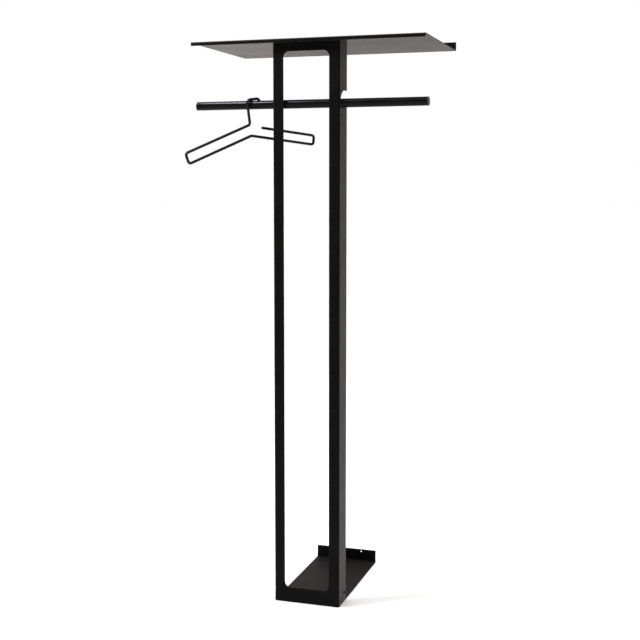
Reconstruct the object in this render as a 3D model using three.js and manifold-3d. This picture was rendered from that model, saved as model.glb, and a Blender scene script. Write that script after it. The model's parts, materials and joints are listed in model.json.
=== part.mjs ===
// Standing coat rack of folded sheet steel, against a wall, with its hat shelf,
// floor plate, clothes rail and one wire coat hanger.
//
// Frame: X runs along the wall to the right, Y runs back to the wall, Z is up.
// The origin is the middle of the floor plate's underside. Millimetres.

import * as THREE from 'three';
import { mergeVertices } from 'three/addons/utils/BufferGeometryUtils.js';
import Module from 'manifold-3d';

const wasm = await Module();
wasm.setup();

// ---------------------------------------------------------------- dimensions

const SHEET = 3;                    // thickness of every folded sheet
const BEND_INSIDE = 1.5;            // inside radius of every fold
const GAP = 0.3;                    // room between pieces that touch
const BEND_STEPS = 4;               // facets in a fold

// Rack as a whole
const DEPTH = 417;                  // frame face to wall
const SHELF_TOP = 1650;             // height of the hat shelf

// Front frame: a tall face with a long window, its sides folded back
const FRAME_WIDTH = 200;
const FLANGE_DEPTH = 71;
const STILE = 31.5;                  // face left on each side of the window
const BOTTOM_RAIL = 45;             // face left below the window
const TOP_RAIL = 35;                // face left above the window
const WINDOW_RADIUS = 17;
const TOP_FLANGE_DEPTH = 56;        // hidden flange that the shelf is screwed to
const SIDE_HOLE_RADIUS = 3.5;       // hole in each side, below the rail
const SIDE_HOLE_DROP = 33;

// Clothes rail, loose in a notch in each side of the frame
const RAIL_RADIUS = 12.5;
const RAIL_WALL = 1.5;
const RAIL_LENGTH = 695;            // with its end caps
const RAIL_SHIFT = 4;               // the loose rail lies a little to the right
const RAIL_BEHIND_FACE = 20;
const RAIL_HEIGHT = 1468;
const RAIL_SIDES = 32;
const CAP_DISC = 2;
const CAP_STEM = 12;
const CAP_CHAMFER = 0.8;

// Notch: a curved way in from the rear edge, down to a cradle for the rail
const NOTCH_ARC_BACK = 31;          // centre of the upper arc, behind the rail
const NOTCH_ARC_DOWN = 7;           // and below it
const LIP_RISE = 10;                // lip behind the rail, above the rail's axis
const LIP_ROUND = 4;
const NOTCH_STEPS = 12;             // facets in each of its arcs

// Hat shelf: a plate with its front edge folded down and its rear edge up
const SHELF_WIDTH = 695;
const SHELF_OVERHANG = 15;          // lip in front of the frame's face
const SHELF_LIP = 11;
const SHELF_UPSTAND = 24;
const SHELF_WALL_HOLE_X = 250;
const SHELF_WALL_HOLE_RISE = 14;

// Floor plate: rear edge folded up at the wall, front edge and ears folded up
const WALL_FLANGE = 40.5;
const FRONT_UPSTAND = 38;
const FRONT_UPSTAND_WIDTH = 150;
const EAR_WIDTH = 26;
const EAR_HEIGHT = 44;
const FLOOR_WALL_HOLE_X = 51;
const FLOOR_WALL_HOLE_HEIGHT = 33.5;
const WALL_HOLE_RADIUS = 2.4;

// M5 button-head screws and nuts
const SCREW_RADIUS = 2.5;
const SCREW_TIP = 0.4;              // chamfer at the end of the thread
const HEAD_RADIUS = 4.75;
const HEAD_HEIGHT = 2.7;
const HEAD_RIM = 0.5;               // upright edge under the domed top
const HEAD_SHOULDER_RADIUS = 4.1;
const HEAD_SHOULDER_HEIGHT = 1.75;
const HEAD_FLAT_RADIUS = 2.85;
const SCREW_SIDES = 24;
const SOCKET_RADIUS = 1.7;
const SOCKET_DEPTH = 1.6;
const SHELF_SCREW_LENGTH = 14;
const FLOOR_SCREW_LENGTH = 15;
const NUT_RADIUS = 4.6;             // across the corners
const NUT_HEIGHT = 4;
const SHELF_SCREW_X = 70;
const SHELF_SCREW_BEHIND_FACE = [18, 44];
const FLOOR_SCREW_BEHIND_FACE = 53;
const FLOOR_SCREW_HEIGHT = 28;

// Coat hanger: one wire, bent to an open outline with a squarish hook
const WIRE_RADIUS = 4;
const WIRE_SIDES = 8;
const HANGER_X = -166;
const HANGER_TURN = 56.5;           // degrees between its plane and the rail
const HANGER_ROLL = 8.2;            // degrees that its left arm hangs lower
const HOOK_HALF_WIDTH = 22;
const HOOK_TOP = 17;
const HOOK_TAIL = -10;
const HOOK_CORNER = 11;
const SHANK_BOTTOM = -54;           // where the left upper arm's line meets the shank
const LOWER_PEAK = -86;             // where the two lower arms meet
const ARM_SLOPE = 13.3;             // degrees below level
const ARM_SPAN = 236;               // shank to the end of an arm
const RIGHT_ARM_DROP = 4;           // the free upper arm lies this much lower
const FREE_END = 41;                // from the shank to the free end of the wire
const WIRE_BEND = 8;
const PEAK_BEND = 14;

// ------------------------------------------------------------ derived values

const FACE_Y = -DEPTH / 2;
const WALL_Y = DEPTH / 2;
const HALF_FRAME = FRAME_WIDTH / 2;
const FRAME_TOP = SHELF_TOP - SHEET - GAP;
const RAIL_Y = FACE_Y + RAIL_BEHIND_FACE;
const CRADLE_RADIUS = RAIL_RADIUS + GAP;
const HOLE_RADIUS = SCREW_RADIUS + GAP;
const EAR_OUTSIDE = HALF_FRAME - SHEET - GAP;

const X = new THREE.Vector3(1, 0, 0);
const Y = new THREE.Vector3(0, 1, 0);
const Z = new THREE.Vector3(0, 0, 1);

const radians = THREE.MathUtils.degToRad;

// ------------------------------------------------------------------- helpers

function toSolid(geometry) {
  const bare = geometry.clone();
  bare.deleteAttribute('normal');
  bare.deleteAttribute('uv');
  const merged = mergeVertices(bare, 1e-4);
  const mesh = new wasm.Mesh({
    numProp: 3,
    vertProperties: merged.attributes.position.array,
    triVerts: new Uint32Array(merged.index.array),
  });
  return new wasm.Manifold(mesh);
}

function toGeometry(solid) {
  const mesh = solid.getMesh();
  const geometry = new THREE.BufferGeometry();
  geometry.setAttribute('position', new THREE.BufferAttribute(mesh.vertProperties, 3));
  geometry.setIndex(new THREE.BufferAttribute(mesh.triVerts, 1));
  geometry.computeVertexNormals();
  return geometry;
}

function extrude(shape, depth, curveSegments = 8) {
  return new THREE.ExtrudeGeometry(shape, { depth, bevelEnabled: false, curveSegments });
}

// A (y, z) outline made solid from x = from to x = to.
function alongX(shape, from, to, curveSegments) {
  const geometry = extrude(shape, to - from, curveSegments);
  geometry.applyMatrix4(new THREE.Matrix4().makeBasis(Y, Z, X));
  geometry.translate(from, 0, 0);
  return toSolid(geometry);
}

// An (x, z) outline made solid from y = from to y = to.
function alongY(shape, from, to, curveSegments) {
  const geometry = extrude(shape, to - from, curveSegments);
  geometry.applyMatrix4(new THREE.Matrix4().makeBasis(X, Z, Y.clone().negate()));
  geometry.translate(0, to, 0);
  return toSolid(geometry);
}

// An (x, y) outline made solid from z = from to z = to.
function alongZ(shape, from, to, curveSegments) {
  const geometry = extrude(shape, to - from, curveSegments);
  geometry.translate(0, 0, from);
  return toSolid(geometry);
}

function rectangle(left, bottom, right, top) {
  return new THREE.Shape([
    new THREE.Vector2(left, bottom),
    new THREE.Vector2(right, bottom),
    new THREE.Vector2(right, top),
    new THREE.Vector2(left, top),
  ]);
}

function disc(centreA, centreB, radius) {
  const shape = new THREE.Shape();
  shape.absarc(centreA, centreB, radius, 0, 2 * Math.PI, false);
  return shape;
}

function polygon(sides, radius) {
  const corners = [];
  for (let i = 0; i < sides; i += 1) {
    const angle = 2 * Math.PI * i / sides;
    corners.push(new THREE.Vector2(radius * Math.cos(angle), radius * Math.sin(angle)));
  }
  return new THREE.Shape(corners);
}

function roundedRectangle(left, bottom, right, top, radius) {
  const shape = new THREE.Shape();
  shape.absarc(right - radius, bottom + radius, radius, -Math.PI / 2, 0, false);
  shape.absarc(right - radius, top - radius, radius, 0, Math.PI / 2, false);
  shape.absarc(left + radius, top - radius, radius, Math.PI / 2, Math.PI, false);
  shape.absarc(left + radius, bottom + radius, radius, Math.PI, 1.5 * Math.PI, false);
  return shape;
}

function box(x0, y0, z0, x1, y1, z1) {
  return alongZ(rectangle(x0, y0, x1, y1), z0, z1);
}

// Outline of a folded sheet. The corners lie on one face of the sheet, and the
// steel is on the right of the way from the first corner to the last.
function foldedSheet(corners) {
  const points = corners.map(([a, b]) => new THREE.Vector2(a, b));
  const near = [points[0]];
  const far = [];
  const direction = (from, to) => to.clone().sub(from).normalize();
  const rightOf = (way) => new THREE.Vector2(way.y, -way.x);
  const first = direction(points[0], points[1]);
  far.push(points[0].clone().addScaledVector(rightOf(first), SHEET));
  for (let i = 1; i < points.length - 1; i += 1) {
    const wayIn = direction(points[i - 1], points[i]);
    const wayOut = direction(points[i], points[i + 1]);
    const turn = Math.atan2(wayIn.cross(wayOut), wayIn.dot(wayOut));
    const side = turn < 0 ? 1 : -1;
    const nearRadius = side > 0 ? BEND_INSIDE + SHEET : BEND_INSIDE;
    const farRadius = nearRadius - side * SHEET;
    const setback = nearRadius * Math.tan(Math.abs(turn) / 2);
    const normal = rightOf(wayIn);
    const centre = points[i].clone()
      .addScaledVector(wayIn, -setback)
      .addScaledVector(normal, side * nearRadius);
    for (let step = 0; step <= BEND_STEPS; step += 1) {
      const spoke = normal.clone().rotateAround(new THREE.Vector2(), turn * step / BEND_STEPS);
      near.push(centre.clone().addScaledVector(spoke, -side * nearRadius));
      far.push(centre.clone().addScaledVector(spoke, -side * farRadius));
    }
  }
  const end = points[points.length - 1];
  const last = direction(points[points.length - 2], end);
  near.push(end);
  far.push(end.clone().addScaledVector(rightOf(last), SHEET));
  return new THREE.Shape([...near, ...far.reverse()]);
}

function lathe(profile, sides) {
  const points = profile.map(([radius, height]) => new THREE.Vector2(radius, height));
  return new THREE.LatheGeometry(points, sides);
}

// ----------------------------------------------------------------- materials

function coated(color, roughness) {
  return new THREE.MeshStandardMaterial({ color, roughness, metalness: 0.3 });
}

const powderCoat = coated(0x1d1c1e, 0.45);
const railCoat = coated(0x1f1f24, 0.35);
const wireCoat = coated(0x121212, 0.5);
const capPlastic = new THREE.MeshStandardMaterial({ color: 0x3c3b3b, roughness: 0.6, metalness: 0 });
const blackScrew = coated(0x141414, 0.4);
const zincNut = new THREE.MeshStandardMaterial({ color: 0x9a9a98, roughness: 0.35, metalness: 0.9 });

// --------------------------------------------------------------- front frame

// The way for the rail: in from the rear edge, over the lip and down.
function notchOutline() {
  const arcY = RAIL_Y + NOTCH_ARC_BACK;
  const arcZ = RAIL_HEIGHT - NOTCH_ARC_DOWN;
  const arcRadius = Math.hypot(NOTCH_ARC_BACK, NOTCH_ARC_DOWN) + CRADLE_RADIUS;
  const meeting = Math.PI - Math.atan2(NOTCH_ARC_DOWN, NOTCH_ARC_BACK);
  const rampStart = radians(-45);
  const lipZ = RAIL_HEIGHT + LIP_RISE;
  const lipY = RAIL_Y + LIP_RISE + CRADLE_RADIUS * Math.SQRT2;
  const rear = FACE_Y + FLANGE_DEPTH + SHEET;
  const shape = new THREE.Shape();
  shape.moveTo(rear, arcZ + arcRadius);
  shape.lineTo(arcY, arcZ + arcRadius);
  shape.absarc(arcY, arcZ, arcRadius, Math.PI / 2, meeting, false);
  shape.absarc(RAIL_Y, RAIL_HEIGHT, CRADLE_RADIUS, meeting, rampStart, false);
  shape.lineTo(lipY - LIP_ROUND * Math.SQRT1_2, lipZ - LIP_ROUND * Math.SQRT1_2);
  shape.quadraticCurveTo(lipY, lipZ, lipY + LIP_ROUND, lipZ);
  shape.lineTo(rear, lipZ);
  shape.closePath();
  return shape;
}

function frontFrame() {
  const channel = foldedSheet([
    [HALF_FRAME, FACE_Y + FLANGE_DEPTH],
    [HALF_FRAME, FACE_Y],
    [-HALF_FRAME, FACE_Y],
    [-HALF_FRAME, FACE_Y + FLANGE_DEPTH],
  ]);
  const innerHalf = HALF_FRAME - SHEET - BEND_INSIDE - GAP;
  const foldDepth = SHEET + BEND_INSIDE;
  const topFold = foldedSheet([
    [FACE_Y, FRAME_TOP - TOP_RAIL / 2],
    [FACE_Y, FRAME_TOP],
    [FACE_Y + TOP_FLANGE_DEPTH, FRAME_TOP],
  ]);
  const window = roundedRectangle(
    STILE - HALF_FRAME,
    BOTTOM_RAIL,
    HALF_FRAME - STILE,
    SHELF_TOP - TOP_RAIL,
    WINDOW_RADIUS,
  );
  const reach = HALF_FRAME + SHEET;
  let frame = alongZ(channel, 0, FRAME_TOP)
    .subtract(box(-innerHalf, FACE_Y - 1, FRAME_TOP - foldDepth, innerHalf, FACE_Y + foldDepth, FRAME_TOP + 1))
    .add(alongX(topFold, -innerHalf, innerHalf))
    .subtract(alongY(window, FACE_Y - 1, FACE_Y + SHEET + 1))
    .subtract(alongX(notchOutline(), -reach, reach, NOTCH_STEPS))
    .subtract(alongX(disc(RAIL_Y, RAIL_HEIGHT - SIDE_HOLE_DROP, SIDE_HOLE_RADIUS), -reach, reach))
    .subtract(alongX(disc(FACE_Y + FLOOR_SCREW_BEHIND_FACE, FLOOR_SCREW_HEIGHT, HOLE_RADIUS), -reach, reach));
  for (const [x, y] of shelfScrewPlaces()) {
    frame = frame.subtract(alongZ(disc(x, y, HOLE_RADIUS), FRAME_TOP - SHEET - 1, FRAME_TOP + 1));
  }
  return toGeometry(frame);
}

// ----------------------------------------------------------------- hat shelf

function shelfScrewPlaces() {
  const places = [];
  for (const behindFace of SHELF_SCREW_BEHIND_FACE) {
    for (const x of [-SHELF_SCREW_X, SHELF_SCREW_X]) {
      places.push([x, FACE_Y + behindFace]);
    }
  }
  return places;
}

function hatShelf() {
  const front = FACE_Y - SHELF_OVERHANG;
  const outline = foldedSheet([
    [front, SHELF_TOP - SHELF_LIP],
    [front, SHELF_TOP],
    [WALL_Y - SHEET, SHELF_TOP],
    [WALL_Y - SHEET, SHELF_TOP + SHELF_UPSTAND],
  ]);
  let shelf = alongX(outline, -SHELF_WIDTH / 2, SHELF_WIDTH / 2);
  for (const [x, y] of shelfScrewPlaces()) {
    shelf = shelf.subtract(alongZ(disc(x, y, HOLE_RADIUS), SHELF_TOP - SHEET - 1, SHELF_TOP + 1));
  }
  for (const x of [-SHELF_WALL_HOLE_X, SHELF_WALL_HOLE_X]) {
    const hole = disc(x, SHELF_TOP + SHELF_WALL_HOLE_RISE, WALL_HOLE_RADIUS);
    shelf = shelf.subtract(alongY(hole, WALL_Y - SHEET - 1, WALL_Y + 1));
  }
  return toGeometry(shelf);
}

// --------------------------------------------------------------- floor plate

function floorPlate() {
  const inside = FACE_Y + SHEET + GAP;
  const shoulder = FACE_Y + FLANGE_DEPTH + GAP;
  const bend = SHEET + BEND_INSIDE;
  const wide = foldedSheet([
    [WALL_Y, WALL_FLANGE],
    [WALL_Y, 0],
    [shoulder, 0],
  ]);
  const narrow = foldedSheet([
    [shoulder + 1, 0],
    [inside, 0],
    [inside, FRONT_UPSTAND],
  ]);
  const ears = foldedSheet([
    [EAR_OUTSIDE, EAR_HEIGHT],
    [EAR_OUTSIDE, 0],
    [-EAR_OUTSIDE, 0],
    [-EAR_OUTSIDE, EAR_HEIGHT],
  ]);
  const earMiddle = FACE_Y + FLOOR_SCREW_BEHIND_FACE;
  const earFront = earMiddle - EAR_WIDTH / 2;
  const earRear = shoulder;
  const web = EAR_OUTSIDE - bend;
  const reach = HALF_FRAME + SHEET;
  const screwWay = disc(earMiddle, FLOOR_SCREW_HEIGHT, HOLE_RADIUS);
  let plate = alongX(wide, -HALF_FRAME, HALF_FRAME)
    .add(alongX(narrow, -FRONT_UPSTAND_WIDTH / 2, FRONT_UPSTAND_WIDTH / 2))
    .add(box(-web, inside + bend, 0, web, shoulder + 1, SHEET))
    .add(alongY(ears, earFront, earRear))
    .subtract(alongX(screwWay, -reach, reach));
  for (const x of [-FLOOR_WALL_HOLE_X, FLOOR_WALL_HOLE_X]) {
    const hole = disc(x, FLOOR_WALL_HOLE_HEIGHT, WALL_HOLE_RADIUS);
    plate = plate.subtract(alongY(hole, WALL_Y - SHEET - 1, WALL_Y + 1));
  }
  return toGeometry(plate);
}

// -------------------------------------------------------------- clothes rail

// The rail and its caps are turned about their own Y axis, along the rail.
function clothesRail() {
  const half = RAIL_LENGTH / 2 - CAP_DISC - GAP;
  const bore = RAIL_RADIUS - RAIL_WALL;
  return lathe([
    [bore, -half],
    [RAIL_RADIUS, -half],
    [RAIL_RADIUS, half],
    [bore, half],
    [bore, -half],
  ], RAIL_SIDES);
}

// Its disc is on top and its stem points down into the tube.
function railEndCap() {
  const stem = RAIL_RADIUS - RAIL_WALL - GAP;
  return lathe([
    [0, -CAP_STEM],
    [stem, -CAP_STEM],
    [stem, 0],
    [RAIL_RADIUS, 0],
    [RAIL_RADIUS, CAP_DISC - CAP_CHAMFER],
    [RAIL_RADIUS - CAP_CHAMFER, CAP_DISC],
    [0, CAP_DISC],
  ], RAIL_SIDES);
}

// --------------------------------------------------------------- coat hanger

// A wire's centre line through its corners, each corner rounded to its radius.
// It is sampled at its own stations, so a straight run is a single step.
class BentWire extends THREE.Curve {
  constructor(corners, stepsPerBend) {
    super();
    this.stations = [];
    const place = ([x, z]) => new THREE.Vector3(x, 0, z);
    corners.forEach((corner, i) => {
      const here = place(corner);
      if (i === 0 || i === corners.length - 1) {
        this.stations.push(here);
        return;
      }
      const wayIn = here.clone().sub(place(corners[i - 1])).normalize();
      const wayOut = place(corners[i + 1]).sub(here).normalize();
      const angle = wayIn.angleTo(wayOut);
      const radius = corner[2];
      const setback = radius * Math.tan(angle / 2);
      const inward = wayOut.clone().sub(wayIn).normalize();
      const centre = here.clone().addScaledVector(inward, radius / Math.cos(angle / 2));
      const start = here.clone().addScaledVector(wayIn, -setback).sub(centre);
      const axis = new THREE.Vector3().crossVectors(wayIn, wayOut).normalize();
      for (let step = 0; step <= stepsPerBend; step += 1) {
        const spoke = start.clone().applyAxisAngle(axis, angle * step / stepsPerBend);
        this.stations.push(spoke.add(centre));
      }
    });
  }

  get steps() {
    return this.stations.length - 1;
  }

  getPoint(t) {
    const along = Math.min(t * this.steps, this.steps);
    const index = Math.min(Math.floor(along + 1e-9), this.steps - 1);
    return this.stations[index].clone().lerp(this.stations[index + 1], along - index);
  }

  getPointAt(t) {
    return this.getPoint(t);
  }

  getTangentAt(t) {
    const index = Math.round(t * this.steps);
    const before = this.stations[Math.max(index - 1, 0)];
    const after = this.stations[Math.min(index + 1, this.steps)];
    const here = this.stations[index];
    const wayIn = here.clone().sub(before).normalize();
    const wayOut = after.clone().sub(here).normalize();
    return wayIn.add(wayOut).normalize();
  }
}

// Corners of the wire as [x, z, bend radius], with the rail's axis at 0, 0.
function hangerCorners() {
  const shank = -HOOK_HALF_WIDTH;
  const slope = Math.tan(radians(ARM_SLOPE));
  const outX = Math.cos(radians(ARM_SLOPE));
  const outZ = -Math.sin(radians(ARM_SLOPE));
  const ends = (side, upperZ) => {
    const drop = (upperZ - LOWER_PEAK) * outX;
    const upper = [shank + side * ARM_SPAN * outX, upperZ + ARM_SPAN * outZ];
    const lower = [upper[0] + side * drop * outZ, upper[1] - drop * outX];
    return { upper: [...upper, WIRE_BEND], lower: [...lower, WIRE_BEND] };
  };
  const left = ends(-1, SHANK_BOTTOM);
  const right = ends(1, SHANK_BOTTOM - RIGHT_ARM_DROP);
  return [
    [HOOK_HALF_WIDTH, HOOK_TAIL],
    [HOOK_HALF_WIDTH, HOOK_TOP, HOOK_CORNER],
    [shank, HOOK_TOP, HOOK_CORNER],
    [shank, SHANK_BOTTOM, WIRE_BEND],
    left.upper,
    left.lower,
    [shank, LOWER_PEAK, PEAK_BEND],
    right.lower,
    right.upper,
    [shank + FREE_END, SHANK_BOTTOM - RIGHT_ARM_DROP - FREE_END * slope],
  ];
}

function coatHanger() {
  const path = new BentWire(hangerCorners(), BEND_STEPS);
  const section = polygon(WIRE_SIDES, WIRE_RADIUS);
  return new THREE.ExtrudeGeometry(section, { steps: path.steps, extrudePath: path });
}

// ------------------------------------------------------------------ fasteners

// Button head with its underside at z = 0 and the shank pointing down.
function screw(length) {
  const blank = lathe([
    [0, -length],
    [SCREW_RADIUS - SCREW_TIP, -length],
    [SCREW_RADIUS, SCREW_TIP - length],
    [SCREW_RADIUS, 0],
    [HEAD_RADIUS, 0],
    [HEAD_RADIUS, HEAD_RIM],
    [HEAD_SHOULDER_RADIUS, HEAD_SHOULDER_HEIGHT],
    [HEAD_FLAT_RADIUS, HEAD_HEIGHT],
    [0, HEAD_HEIGHT],
  ], SCREW_SIDES);
  blank.rotateX(Math.PI / 2);
  const socket = new THREE.CylinderGeometry(SOCKET_RADIUS, SOCKET_RADIUS, 2 * SOCKET_DEPTH, 6);
  socket.rotateX(Math.PI / 2);
  socket.translate(0, 0, HEAD_HEIGHT);
  return toGeometry(toSolid(blank).subtract(toSolid(socket)));
}

// Hexagon nut with its top face at z = 0.
function nut() {
  const body = alongZ(polygon(6, NUT_RADIUS), -NUT_HEIGHT, 0);
  const bore = alongZ(disc(0, 0, HOLE_RADIUS), -NUT_HEIGHT - 1, 1);
  return toGeometry(body.subtract(bore));
}

// ------------------------------------------------------------------ assembly

const rack = new THREE.Group();

function add(parent, name, geometry, material) {
  const mesh = new THREE.Mesh(geometry, material);
  mesh.name = name;
  parent.add(mesh);
  return mesh;
}

add(rack, 'front_frame', frontFrame(), powderCoat);
add(rack, 'hat_shelf', hatShelf(), powderCoat);
add(rack, 'floor_plate', floorPlate(), powderCoat);

shelfScrewPlaces().forEach(([x, y], i) => {
  const fastener = add(rack, `shelf_screw_${i + 1}`, screw(SHELF_SCREW_LENGTH), blackScrew);
  fastener.position.set(x, y, SHELF_TOP + GAP);
  const below = add(rack, `shelf_nut_${i + 1}`, nut(), zincNut);
  below.position.set(x, y, FRAME_TOP - SHEET - GAP);
});

for (const [name, side] of [['left', -1], ['right', 1]]) {
  const place = new THREE.Group();
  place.position.set(0, FACE_Y + FLOOR_SCREW_BEHIND_FACE, FLOOR_SCREW_HEIGHT);
  place.rotation.y = side * Math.PI / 2;
  rack.add(place);
  const fastener = add(place, `floor_screw_${name}`, screw(FLOOR_SCREW_LENGTH), blackScrew);
  fastener.position.z = HALF_FRAME + GAP;
  const inside = add(place, `floor_nut_${name}`, nut(), zincNut);
  inside.position.z = EAR_OUTSIDE - SHEET - GAP;
}

const rail = new THREE.Group();
rail.position.set(RAIL_SHIFT, RAIL_Y, RAIL_HEIGHT);
rack.add(rail);
const tube = add(rail, 'clothes_rail', clothesRail(), railCoat);
tube.rotation.z = -Math.PI / 2;
for (const [name, side] of [['left', -1], ['right', 1]]) {
  const cap = add(rail, `rail_end_cap_${name}`, railEndCap(), capPlastic);
  cap.rotation.z = -side * Math.PI / 2;
  cap.position.x = side * (RAIL_LENGTH / 2 - CAP_DISC);
}

const hanger = new THREE.Group();
hanger.position.set(HANGER_X, RAIL_Y, RAIL_HEIGHT);
hanger.rotation.set(0, -radians(HANGER_ROLL), radians(HANGER_TURN), 'ZYX');
rack.add(hanger);
add(hanger, 'coat_hanger', coatHanger(), wireCoat);

export default rack;
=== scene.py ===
"""Looks of the standing coat rack: fine meshes, materials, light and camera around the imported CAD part.

Metres, in the frame of the part: X along the wall to the right, Y back to the wall, Z up,
with the origin in the middle of the floor plate's underside.
"""

import json
import math

import bmesh
import bpy
from mathutils import Matrix, Vector
from mathutils.geometry import delaunay_2d_cdt


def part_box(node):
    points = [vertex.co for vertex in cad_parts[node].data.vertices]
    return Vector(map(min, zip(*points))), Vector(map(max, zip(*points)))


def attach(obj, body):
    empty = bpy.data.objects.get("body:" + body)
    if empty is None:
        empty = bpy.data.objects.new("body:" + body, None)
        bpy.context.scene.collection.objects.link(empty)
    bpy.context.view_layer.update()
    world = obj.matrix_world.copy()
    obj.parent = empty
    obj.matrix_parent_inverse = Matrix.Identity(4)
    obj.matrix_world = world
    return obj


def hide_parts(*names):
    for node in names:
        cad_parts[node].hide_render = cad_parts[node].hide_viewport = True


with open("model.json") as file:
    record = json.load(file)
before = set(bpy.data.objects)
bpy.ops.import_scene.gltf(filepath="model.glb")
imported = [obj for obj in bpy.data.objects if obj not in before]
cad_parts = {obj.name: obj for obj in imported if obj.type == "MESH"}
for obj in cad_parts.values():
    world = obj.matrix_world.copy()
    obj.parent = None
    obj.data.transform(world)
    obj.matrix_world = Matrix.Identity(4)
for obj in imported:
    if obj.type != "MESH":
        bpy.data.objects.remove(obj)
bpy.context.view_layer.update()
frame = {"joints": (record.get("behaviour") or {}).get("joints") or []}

# ---------------------------------------------------------------- dimensions

MM = 0.001

# Sheet steel
SHEET = 3 * MM
BEND_OUTSIDE = 4.5 * MM
BEND_MIDDLE = BEND_OUTSIDE - SHEET / 2
BEND_LENGTH = BEND_MIDDLE * math.pi / 2     # middle of the sheet, round a right angle
BEND_STEPS = 10
EDGE_ROUND = 0.45 * MM                      # the coat rounds every cut edge
EDGE_STEPS = 3
CORNER = 0.9 * MM                           # deburred corner of a blank
TIGHT_CORNER = CORNER * 0.9                 # the same, beside a fold
SLOT_CORNER = CORNER * 0.8                  # the same, at the mouth of a slot
WIDE_CORNER = CORNER * 3                    # end of a tab
RELIEF = 1.6 * MM                           # slot beside a fold that ends inside an edge
RELIEF_ROUND = RELIEF * 0.49                # almost a full round at its bottom
GAP = 0.3 * MM
MARGIN = 0.1 * MM

# Front frame
frame_low, frame_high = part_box("front_frame")
FACE_Y = frame_low.y
FLANGE_REAR = frame_high.y
HALF_FRAME = frame_high.x
FRAME_TOP = frame_high.z
STILE = 31.5 * MM
BOTTOM_RAIL = 45 * MM
TOP_RAIL = 35 * MM
WINDOW_RADIUS = 17 * MM
WINDOW_STEPS = 14
TOP_FLANGE_DEPTH = 56 * MM
SIDE_HOLE_RADIUS = 3.5 * MM
SIDE_HOLE_DROP = 33 * MM
SCREW_HOLE_RADIUS = 2.8 * MM

# Hat shelf
shelf_low, shelf_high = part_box("hat_shelf")
SHELF_TOP = FRAME_TOP + GAP + SHEET
SHELF_WALL_HOLE_X = 250 * MM
SHELF_WALL_HOLE_RISE = 14 * MM
WALL_HOLE_RADIUS = 2.4 * MM

# Floor plate
plate_low, plate_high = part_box("floor_plate")
WALL_FLANGE = 40.5 * MM
FRONT_UPSTAND = 38 * MM
FRONT_UPSTAND_HALF = 75 * MM
EAR_WIDTH = 26 * MM
EAR_HEIGHT = plate_high.z
EAR_OUTSIDE = HALF_FRAME - SHEET - GAP
FLOOR_WALL_HOLE_X = 51 * MM
FLOOR_WALL_HOLE_HEIGHT = 33.5 * MM

# Clothes rail and its end caps
rail_low, rail_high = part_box("clothes_rail")
RAIL_Y = (rail_low.y + rail_high.y) / 2
RAIL_Z = (rail_low.z + rail_high.z) / 2
RAIL_RADIUS = (rail_high.z - rail_low.z) / 2
RAIL_BORE = RAIL_RADIUS - 1.5 * MM
CAP_DISC = 2 * MM
CAP_STEM = 12 * MM
CAP_CROWN = 0.25 * MM                       # dished middle of a cap's face
CAP_RIM = 2.2 * MM
CAP_ROUND = 0.8 * MM
CAP_LEAD_IN = 0.8 * MM
RAIL_END_ROUND = 0.35 * MM
RAIL_SIDES = 72

# Notch for the rail in each side of the frame
CRADLE_RADIUS = RAIL_RADIUS + GAP
NOTCH_ARC_BACK = 31 * MM
NOTCH_ARC_DOWN = 7 * MM
LIP_RISE = 10 * MM
LIP_ROUND = 4 * MM
NOTCH_STEPS = 24

# Screws and nuts
SCREW_RADIUS = 2.5 * MM
THREAD_DEPTH = 0.35 * MM
THREAD_PITCH = 0.8 * MM
THREAD_CREST = (0.42, 0.58)                 # where a crest starts and ends, in pitches
THREAD_START = 1.2 * MM
SCREW_POINT = 0.4 * MM
HEAD_RADIUS = 4.75 * MM
HEAD_HEIGHT = 2.7 * MM
HEAD_FLAT = 2.6 * MM
HEAD_RIM = 0.45 * MM
HEAD_UNDERCUT = 0.15 * MM
HEAD_STEPS = 8
SOCKET_RADIUS = 1.7 * MM
SOCKET_DEPTH = 1.6 * MM
SOCKET_CHAMFER = 0.12 * MM
NUT_RADIUS = 4.6 * MM
NUT_HEIGHT = 4 * MM
NUT_CHAMFER = 0.45 * MM
NUT_COUNTERSINK = 0.4 * MM
NUT_STEPS = 4
HARDWARE_SIDES = 48

# Coat hanger, drawn in its own plane with the rail's axis at 0, 0
WIRE_RADIUS = 4 * MM
WIRE_SIDES = 20
WIRE_END_ROUND = 0.9 * MM
WIRE_END_STEPS = 4
WIRE_BEND_STEPS = 10
HANGER_TURN = math.radians(56.5)            # between its plane and the rail
HANGER_ROLL = math.radians(8.2)             # its left arm hangs lower
HOOK_HALF_WIDTH = 22 * MM
HOOK_TOP = 17 * MM
HOOK_TAIL = -10 * MM
HOOK_CORNER = 11 * MM
SHANK_BOTTOM = -54 * MM
LOWER_PEAK = -86 * MM
ARM_SLOPE = math.radians(13.3)
ARM_SPAN = 236 * MM
RIGHT_ARM_DROP = 4 * MM
FREE_END = 41 * MM
WIRE_BEND = 8 * MM
PEAK_BEND = 14 * MM

# Camera: in front of the rack and to its right, at about chest height
CAMERA_PLACE = (1.0248, -3.2574, 1.2394)
CAMERA_TURN = math.radians(17.87)
CAMERA_DIP = math.radians(5.9)
CAMERA_LENS = 63.0
CAMERA_SHIFT = -0.031

# Studio
FLOOR_REACH = 60.0
OVERHEAD_STRENGTH = 2.2
FRONT_GLOW = (0.05, 0.05, 0.055)            # against the light overhead
BACK_GLOW = (0.34, 0.31, 0.28)
MIDDLE_GLOW = (0.4, 0.4, 0.4)               # what is left of both between the horizon and overhead


# -------------------------------------------------------------- flat outlines

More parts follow.
